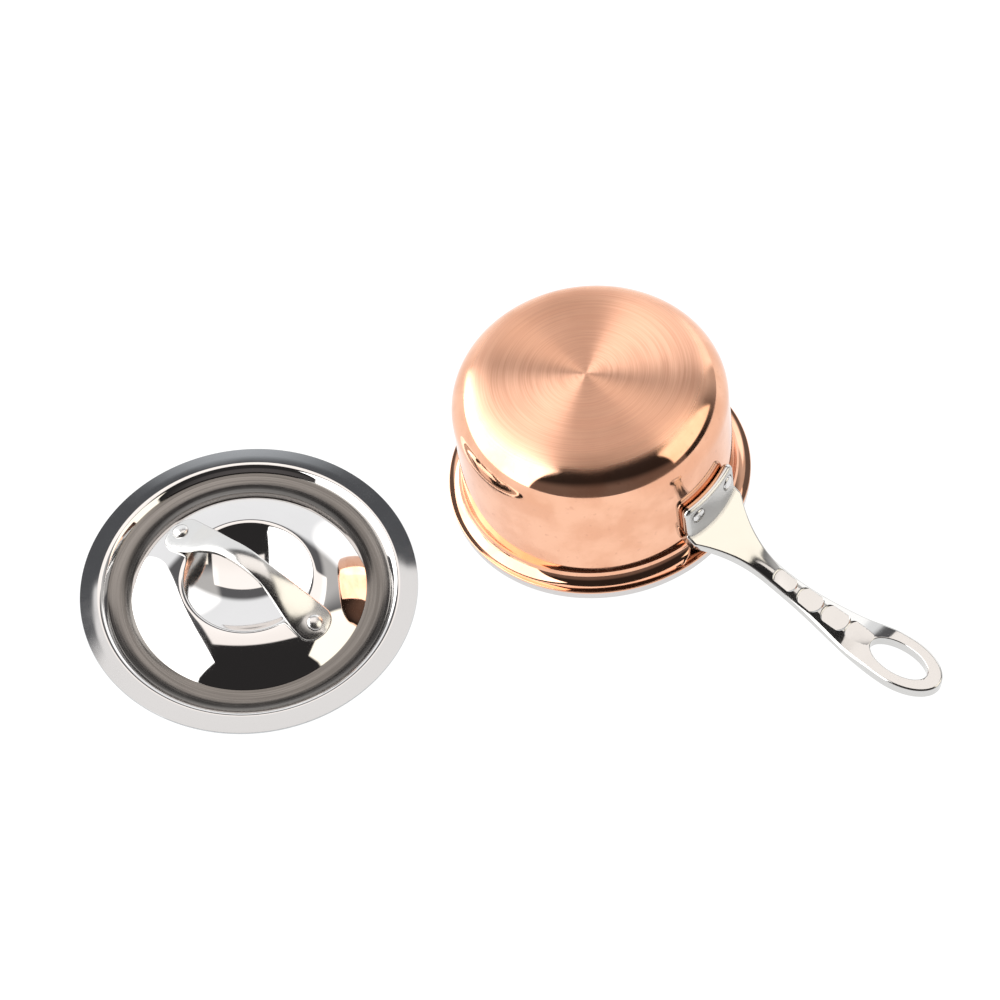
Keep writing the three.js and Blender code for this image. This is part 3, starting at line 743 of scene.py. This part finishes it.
# %% Dimples
DIMPLE_START = 88.0
DIMPLE_PITCH = 11.4
DIMPLE_RADII = (4.4, 4.7, 5.1, 5.6)
DIMPLE_TILTS = (0.0, 0.0, 0.5, 4.5)
DIMPLE_DEPTHS = (0.7, 0.95, 0.9, 0.5)
DIMPLE_BOTTOM = 140.0
DIMPLE_RIM = 0.9
PIN_HEIGHT = 5

for i, (size, tilt, depth) in enumerate(zip(DIMPLE_RADII, DIMPLE_TILTS, DIMPLE_DEPTHS)):
    x = DIMPLE_START + DIMPLE_PITCH * i
    slope = math.atan(crown_slope(x)) + math.radians(tilt)
    normal = Vector((-math.sin(slope), 0, math.cos(slope)))
    bottom = [(size * k / 12, (size * k / 12) ** 2 / (2 * DIMPLE_BOTTOM)) for k in range(13)]
    rim = arc(size, bottom[-1][1] + DIMPLE_RIM, DIMPLE_RIM, -75, 0, 6)
    pin_end = [(size + DIMPLE_RIM, PIN_HEIGHT), (0, PIN_HEIGHT)]
    pin = turn("dimple_cut", bottom + rim + pin_end, 96)
    foot = Vector((x, 0, crown_height(x))) - normal * depth
    set_down(pin, Matrix.Translation(foot * MM) @ Matrix.Rotation(-slope, 4, "Y"))
    combine(handle, pin, "DIFFERENCE")
print("arm with dimples", len(handle.data.polygons), "faces")

# %% [markdown]
# ## Recesses of the rivets
# Each rivet sits in a flat recess in the pad. Both are cut with copies of one short post, and
# the handle is then finished and set down on the pan.

# %% Recesses of the rivets
RIVET_ANGLE = 9.37
RIVET_HEIGHT = 26.0
RIVET_SEAT = 56.75
RECESS_RADIUS = 3.4
RECESS_DEPTH = 0.1
POST_HEIGHT = 6


def copy_of(piece, name):
    made = piece.copy()
    made.data = piece.data.copy()
    made.name = name
    made.data.name = name
    bpy.context.scene.collection.objects.link(made)
    return made


def rivet_place(side):
    """Frame of a handle rivet: Z out through the wall, zero on the face under its head"""
    out = Matrix.Rotation(math.radians(side * RIVET_ANGLE), 4, "Z") @ Vector((1, 0, 0))
    seat = Vector((out.x * RIVET_SEAT, out.y * RIVET_SEAT, RIVET_HEIGHT)) * MM
    return Matrix.Translation(seat) @ out.to_track_quat("Z", "Y").to_matrix().to_4x4()


post_section = [(0, -RECESS_DEPTH), (RECESS_RADIUS, -RECESS_DEPTH),
                (RECESS_RADIUS, POST_HEIGHT), (0, POST_HEIGHT)]
post = turn("recess_post", post_section, 64)
for rivet_side in (-1, 1):
    cutter = copy_of(post, "recess_cut")
    set_down(cutter, rivet_place(rivet_side))
    combine(handle, cutter, "DIFFERENCE")
bpy.data.objects.remove(post)
shade(handle, 35)
even_shading(handle)
set_down(handle, PAN_PLACE)

# %% [markdown]
# ## Rivets of the handle
# A rivet is a short pin with a low domed head at each end. One is turned as a pattern, and a
# copy of it is set down at each place.

# %% Rivets of the handle
def rivet_section(shank, head, height, grip):
    angles = [math.radians(90 * i / 14) for i in range(15)]
    outer_head = [(head * math.cos(a), height * math.sin(a) ** 0.8) for a in angles]
    inner_head = [(radius, -grip - rise) for radius, rise in outer_head[::-1]]
    return inner_head + [(shank, -grip), (shank, 0)] + outer_head


def set_rivets(pattern, places):
    """A copy of the pattern at each (name, place). The pattern is used up"""
    studs = []
    for name, place in places:
        stud = copy_of(pattern, name)
        set_down(stud, place)
        studs.append(stud)
    bpy.data.objects.remove(pattern)
    return studs


handle_rivet = turn("handle_rivet", rivet_section(shank=1.9, head=2.9, height=1.3, grip=6.95), 64)
pan_rivets = set_rivets(handle_rivet, [("handle_stud_left", PAN_PLACE @ rivet_place(-1)),
                                       ("handle_stud_right", PAN_PLACE @ rivet_place(1))])

# %% [markdown]
# ## Line of the strap
# The strap is a band with round ends that lie on the dome. From each foot it rises in an arch
# and narrows to a waist. Its middle line is a straight foot and a Bezier arch, mirrored.

# %% Line of the strap
STRAP_THICKNESS = 1.8
STRAP_WAIST = 8.2
STRAP_FOOT = 15.8
STRAP_TOP = 25.3
STRAP_RIVET = 33.2
STRAP_GAP = 0.2
FOOT_REACH = 5.6
WAIST_REACH = 8
ARCH_START = 3.6
ARCH_LEAN = 11.6
ARCH_SHOULDER = 14
foot_slope = math.atan(dome_slope(STRAP_RIVET))
foot_along = Vector((math.cos(foot_slope), math.sin(foot_slope)))
foot_out = Vector((-foot_along.y, foot_along.x))
foot_seat = Vector((STRAP_RIVET, dome_height(STRAP_RIVET)))
foot_middle = foot_seat + foot_out * (SHEET / 2 + STRAP_GAP + STRAP_THICKNESS / 2)
arch_top = STRAP_TOP - STRAP_THICKNESS / 2
arch = [foot_middle - foot_along * ARCH_START, foot_middle - foot_along * ARCH_LEAN,
        Vector((ARCH_SHOULDER, arch_top)), Vector((0, arch_top))]


def bezier(points, t):
    while len(points) > 1:
        points = [a.lerp(b, t) for a, b in zip(points, points[1:])]
    return points[0]


end_steps = [FOOT_REACH * math.cos(math.radians(5 * i)) for i in range(18)]
foot_points = [foot_middle + foot_along * step for step in end_steps]
foot_points += [foot_middle - foot_along * (ARCH_START * i / 4) for i in range(4)]
half_strap = foot_points + [bezier(arch, i / 60) for i in range(61)]
strap_line = [(-p.x, 0, p.y) for p in half_strap] + [(p.x, 0, p.y) for p in half_strap[-2::-1]]
strap_run = lengths(strap_line)
print("strap", round(strap_run[-1], 1), "mm along its middle line")

# %% [markdown]
# ## Strap of the lid
# The blank's width is worked out along the middle line. It gets small rounded edges, slices in
# both directions and a slight crown, and is bent along the line.

# %% Strap of the lid
STRAP_EDGE = 0.5
STRAP_SLICE = 0.7
STRAP_CROWN = 0.65


def strap_width(x, end_distance):
    if end_distance < FOOT_REACH:
        return STRAP_FOOT * math.sqrt(max(0, 1 - (1 - end_distance / FOOT_REACH) ** 2))
    widening = ease(abs(x), WAIST_REACH, foot_middle.x)
    return STRAP_WAIST + (STRAP_FOOT - STRAP_WAIST) * widening


strap_side = []
for point, run in zip(strap_line, strap_run):
    strap_side.append((run, strap_width(point[0], min(run, strap_run[-1] - run)) / 2))
strap_outline = [(s, -w) for s, w in strap_side] + [(s, w) for s, w in strap_side[-2:0:-1]]
strap = cut_blank("strap_band", strap_outline, STRAP_THICKNESS)
round_edges(strap, STRAP_EDGE)
slice_across(strap, STRAP_SLICE)
slice_across(strap, STRAP_SLICE, axis=1)
crown_over(strap, [(s, w, STRAP_CROWN) for s, w in strap_side])
strap.location = (0, 0, STRAP_THICKNESS / 2 * MM)
bpy.ops.object.transform_apply(location=True, rotation=False, scale=False)
bend_along(strap, strap_line)
shade(strap, 40)
even_shading(strap)
set_down(strap, LID_PLACE)

# %% [markdown]
# ## Rivets of the lid
# The strap's two rivets are wider and shorter. They stand square to the dome, through the feet.

# %% Rivets of the lid
RIVET_GAP = 0.1


def lid_rivet_place(side):
    """Frame of a lid rivet: Z out of the dome, zero on the face under its head"""
    out = Vector((foot_out.x * side, 0, foot_out.y))
    lift = SHEET / 2 + STRAP_GAP + STRAP_THICKNESS + RIVET_GAP
    seat = Vector((STRAP_RIVET * side, 0, dome_height(STRAP_RIVET))) + out * lift
    return Matrix.Translation(seat * MM) @ out.to_track_quat("Z", "Y").to_matrix().to_4x4()


lid_rivet = turn("lid_rivet", rivet_section(shank=1.6, head=3.2, height=1.6, grip=3.3), 64)
lid_rivets = set_rivets(lid_rivet, [("lid_stud_left", LID_PLACE @ lid_rivet_place(-1)),
                                    ("lid_stud_right", LID_PLACE @ lid_rivet_place(1))])

# %% [markdown]
# ## Parts of a finish
# The finishes share a few steps: a pattern read in the pan's or the lid's own frame, a soft
# noise, a mix of two tones, a band between two soft edges, and something extra inside it.

# %% Helpers for finishes
PAN_FRAME = (PAN_ORIGIN, PAN_TURN)
LID_FRAME = (LID_ORIGIN, LID_TURN)


def new_finish(name):
    finish = bpy.data.materials.new(name)
    finish.use_nodes = True
    tree = finish.node_tree
    return finish, tree, tree.nodes["Principled BSDF"]


def own_frame(tree, origin, turned):
    """A Mapping node that takes a piece back to the frame in which it was drawn"""
    place = add_node(tree, "ShaderNodeTexCoord").outputs["Object"]
    inputs = {"Vector": place, "Location": origin, "Rotation": turned}
    return add_node(tree, "ShaderNodeMapping", inputs, vector_type="TEXTURE").outputs[0]


def noise(tree, place, scale, detail):
    inputs = {"Vector": place, "Scale": scale, "Detail": detail}
    return add_node(tree, "ShaderNodeTexNoise", inputs).outputs[0]


def two_tones(tree, share, first, second):
    """Mix of two colours; each is three numbers or the output of another mix"""
    inputs = {0: share}
    for key, tone in ((6, first), (7, second)):
        inputs[key] = tone if isinstance(tone, bpy.types.NodeSocket) else (*tone, 1)
    return add_node(tree, "ShaderNodeMix", inputs, data_type="RGBA").outputs[2]


def weighted(tree, first, second, share):
    """Sum of two values, with the given share of the second"""
    parts = [calc(tree, "MULTIPLY", first, 1 - share), calc(tree, "MULTIPLY", second, share)]
    return calc(tree, "ADD", *parts)


def band(tree, value, rise, fall):
    """One between two soft edges, each given as (start, end) in millimetres"""
    inside = fade(tree, value, rise[0] * MM, rise[1] * MM)
    return calc(tree, "MULTIPLY", inside, fade(tree, value, fall[0] * MM, fall[1] * MM, 1.0, 0.0))


def add_where(tree, base, mask, extra):
    """A value with something extra where the mask is one"""
    return calc(tree, "ADD", base, calc(tree, "MULTIPLY", mask, extra))


print("finish helpers ready")

# %% [markdown]
# ## Rings on a turned surface
# Brushing on a lathe leaves fine rings. The distance from the axis drives a noise that hardly
# changes round the ring. Such a surface also spreads light across its lines, and for that the
# shader needs the direction straight out from the axis.

# %% Rings about an axis
def distance_from_axis(tree, place):
    x, y = add_node(tree, "ShaderNodeSeparateXYZ", {0: place}).outputs[:2]
    squares = calc(tree, "ADD", calc(tree, "MULTIPLY", x, x), calc(tree, "MULTIPLY", y, y))
    return calc(tree, "SQRT", squares)


def ring_noise(tree, place, lines, sway, detail=3.0):
    """Noise in rings about Z: lines per millimetre outwards, little change round the ring"""
    radius = distance_from_axis(tree, place)
    outward = calc(tree, "MAXIMUM", radius, 0.1 * MM)
    inputs = {0: calc(tree, "MULTIPLY", radius, lines / MM)}
    flat_place = add_node(tree, "ShaderNodeSeparateXYZ", {0: place}).outputs[:2]
    for key, part in enumerate(flat_place, start=1):
        inputs[key] = calc(tree, "MULTIPLY", calc(tree, "DIVIDE", part, outward), sway)
    ring = add_node(tree, "ShaderNodeCombineXYZ", inputs).outputs[0]
    return noise(tree, ring, 1.0, detail)


def out_of_axis(tree, origin, axis):
    """Direction straight out from an axis, for the way a ring-brushed surface spreads light"""
    place = add_node(tree, "ShaderNodeTexCoord").outputs["Object"]
    arm = vector_calc(tree, "SUBTRACT", place, origin)
    inputs = {0: arm, 1: axis}
    dot = add_node(tree, "ShaderNodeVectorMath", inputs, operation="DOT_PRODUCT")
    flat = vector_calc(tree, "SUBTRACT", arm, scaled(tree, axis, dot.outputs["Value"]))
    return add_node(tree, "ShaderNodeVectorMath", {0: flat}, operation="NORMALIZE").outputs[0]


print("ring helpers ready")

# %% [markdown]
# ## Copper
# The wall is polished, with faint smudges and stains, and the base is brushed in rings. One
# finish covers both: the distance from the axis sets where the brushing stops.

# %% Copper finish
COPPER_CLEAN = (0.90, 0.51, 0.345)
COPPER_SMUDGE = (0.80, 0.42, 0.27)
COPPER_STAIN = (0.62, 0.29, 0.20)
BRUSHED_DARK = (0.86, 0.45, 0.30)
BRUSHED_LIGHT = (0.97, 0.565, 0.39)
BRUSHED_FADE = (40.0 * MM, 49.0 * MM)

copper, tree, shader = new_finish("polished_copper")
pan_spot = own_frame(tree, *PAN_FRAME)
radius = distance_from_axis(tree, pan_spot)
brushed = fade(tree, radius, *BRUSHED_FADE, 1.0, 0.0)
fine_rings = ring_noise(tree, pan_spot, 2.0, 1.0)
broad_rings = ring_noise(tree, pan_spot, 0.8, 0.8)
grain = weighted(tree, fine_rings, broad_rings, 0.3)
smudge = noise(tree, pan_spot, 70.0, 6.0)
stain = noise(tree, pan_spot, 380.0, 2.0)

wall_tone = two_tones(tree, fade(tree, smudge, 0.36, 0.66), COPPER_CLEAN, COPPER_SMUDGE)
wall_tone = two_tones(tree, fade(tree, stain, 0.62, 0.78, 0.0, 0.35), wall_tone, COPPER_STAIN)
base_tone = two_tones(tree, fade(tree, grain, 0.34, 0.66), BRUSHED_DARK, BRUSHED_LIGHT)
tree.links.new(two_tones(tree, brushed, wall_tone, base_tone), shader.inputs["Base Color"])

polished = fade(tree, smudge, 0.3, 0.8, 0.035, 0.085)
rough = add_where(tree, polished, brushed, fade(tree, grain, 0.2, 0.8, 0.30, 0.42))
tree.links.new(rough, shader.inputs["Roughness"])
shader.inputs["Metallic"].default_value = 1.0
shader.inputs["Anisotropic"].default_value = 0.97
tree.links.new(out_of_axis(tree, PAN_ORIGIN, PAN_AXIS), shader.inputs["Tangent"])
relief_inputs = {"Height": calc(tree, "MULTIPLY", grain, brushed),
                 "Strength": 0.25, "Distance": 0.02 * MM}
relief = add_node(tree, "ShaderNodeBump", relief_inputs)
tree.links.new(relief.outputs[0], shader.inputs["Normal"])
copper_bowl.data.materials.append(copper)
print("copper finish", len(tree.nodes), "nodes")

# %% [markdown]
# ## Steel of the lid
# All steels start from one finish with a cloudy polish. On the lid it is a mirror. The floor of
# the gutter is a satin in rings whose tone is painted dark and brownish as shade in the groove,
# and the flange is a little duller than the dome.

# %% Steel of the lid
def steel_finish(name, colour, roughness, scale, own):
    """A polished metal whose roughness and tone drift a little in clouds"""
    finish, tree, shader = new_finish(name)
    spot = own_frame(tree, *own)
    cloud = noise(tree, spot, scale, 5.0)
    rough = fade(tree, cloud, 0.3, 0.75, *roughness)
    tree.links.new(rough, shader.inputs["Roughness"])
    paler = tuple(min(1.0, c * 1.06) for c in colour)
    tone = two_tones(tree, cloud, colour, paler)
    tree.links.new(tone, shader.inputs["Base Color"])
    shader.inputs["Metallic"].default_value = 1.0
    return finish, spot, rough, tone


# painted shade: the gutter's two dark, brownish tones stand for the shade in the groove; the mix
# between them follows its real ring streaks
GUTTER_PAINTED_SHADE_DARK = (0.15, 0.14, 0.131)
GUTTER_PAINTED_SHADE_LIGHT = (0.245, 0.231, 0.219)
FLANGE_TONE = (0.52, 0.535, 0.55)
GUTTER_EDGES = ((GUTTER_INNER - 0.1, GUTTER_INNER + 0.2), (GUTTER_OUTER - 0.1, GUTTER_OUTER + 0.2))
FLANGE_FADE = (57.9 * MM, 58.6 * MM)

lid_steel, lid_spot, mirror, mirror_tone = steel_finish(
    "mirror_steel", (0.70, 0.69, 0.685), (0.02, 0.06), 90.0, LID_FRAME)
tree = lid_steel.node_tree
shader = tree.nodes["Principled BSDF"]
radius = distance_from_axis(tree, lid_spot)
gutter = band(tree, radius, *GUTTER_EDGES)
flange = fade(tree, radius, *FLANGE_FADE)
fine_rings = ring_noise(tree, lid_spot, 2.4, 0.9)
broad_rings = ring_noise(tree, lid_spot, 0.6, 0.6, 1.0)
streaks = weighted(tree, fine_rings, broad_rings, 0.5)

rough = add_where(tree, mirror, gutter, fade(tree, fine_rings, 0.3, 0.7, 0.08, 0.15))
rough = add_where(tree, rough, flange, 0.03)
tree.links.new(rough, shader.inputs["Roughness"])
# painted shade on the gutter floor, mixed along the real ring streaks
shaded_satin_tone = two_tones(tree, fade(tree, streaks, 0.36, 0.64), GUTTER_PAINTED_SHADE_DARK, GUTTER_PAINTED_SHADE_LIGHT)
tone = two_tones(tree, gutter, mirror_tone, shaded_satin_tone)
tree.links.new(two_tones(tree, flange, tone, FLANGE_TONE), shader.inputs["Base Color"])
shader.inputs["Anisotropic"].default_value = 0.7
tree.links.new(out_of_axis(tree, LID_ORIGIN, UPWARD), shader.inputs["Tangent"])
lid_sheet.data.materials.append(lid_steel)
print("lid finish", len(tree.nodes), "nodes")

# %% [markdown]
# ## Steel of the handle
# The casting is polished all over except on the outer face of its pad, which is left satin. That
# face lies between two distances from the pan's axis and above the arm.

# %% Steel of the handle
PAD_FACE_DISTANCE = ((56.0, 57.0), (57.4, 58.6))
PAD_FACE_HEIGHT = (13.0 * MM, 15.0 * MM)
PAD_SATIN = 0.3

cast_steel, handle_spot, polished = steel_finish(
    "cast_steel", (0.60, 0.595, 0.585), (0.07, 0.14), 120.0, PAN_FRAME)[:3]
tree = cast_steel.node_tree
shader = tree.nodes["Principled BSDF"]
height = add_node(tree, "ShaderNodeSeparateXYZ", {0: handle_spot}).outputs[2]
pad_face = band(tree, distance_from_axis(tree, handle_spot), *PAD_FACE_DISTANCE)
pad_face = calc(tree, "MULTIPLY", pad_face, fade(tree, height, *PAD_FACE_HEIGHT))
rough = add_where(tree, polished, pad_face, PAD_SATIN)
tree.links.new(rough, shader.inputs["Roughness"])
handle.data.materials.append(cast_steel)
print("handle finish", len(tree.nodes), "nodes")

# %% [markdown]
# ## Plain metals
# The strap, the rivets, the lining and the hidden core need no more than the cloudy polish, each
# with its own tone and gloss. The core keeps its solid from the frame and only gets a finish.

# %% Plain metals
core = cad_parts["aluminium_core"]
core.data.materials.clear()
plain_metals = [
    ("strap_steel", (0.64, 0.635, 0.625), (0.14, 0.22), 120.0, LID_FRAME, [strap]),
    ("rivet_steel", (0.70, 0.695, 0.69), (0.2, 0.3), 300.0, PAN_FRAME, pan_rivets + lid_rivets),
    ("lining_steel", (0.60, 0.58, 0.575), (0.10, 0.22), 80.0, PAN_FRAME, [steel_bowl]),
    ("core_aluminium", (0.72, 0.73, 0.75), (0.35, 0.5), 200.0, PAN_FRAME, [core]),
]
for name, colour, roughness, scale, own, pieces in plain_metals:
    finish = steel_finish(name, colour, roughness, scale, own)[0]
    for piece in pieces:
        piece.data.materials.append(finish)
    print(name, "on", [piece.name for piece in pieces])

# %% [markdown]
# ## Riding on the bodies
# Each new piece stands for one solid of the frame and moves with the pan or with the lid.

# %% Riding and the end
stand_ins = [
    (copper_bowl, "copper_shell", "pan", "copper"),
    (steel_bowl, "steel_lining", "pan", "lining"),
    (handle, "pan_handle", "pan", "cast_steel"),
    (pan_rivets[0], "handle_rivet_left", "pan", "rivets"),
    (pan_rivets[1], "handle_rivet_right", "pan", "rivets"),
    (lid_sheet, "lid", "lid", "lid_steel"),
    (strap, "lid_strap", "lid", "cast_steel"),
    (lid_rivets[0], "lid_rivet_left", "lid", "rivets"),
    (lid_rivets[1], "lid_rivet_right", "lid", "rivets"),
]
for piece, node, body, slot in stand_ins:
    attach(piece, body)
    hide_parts(node)
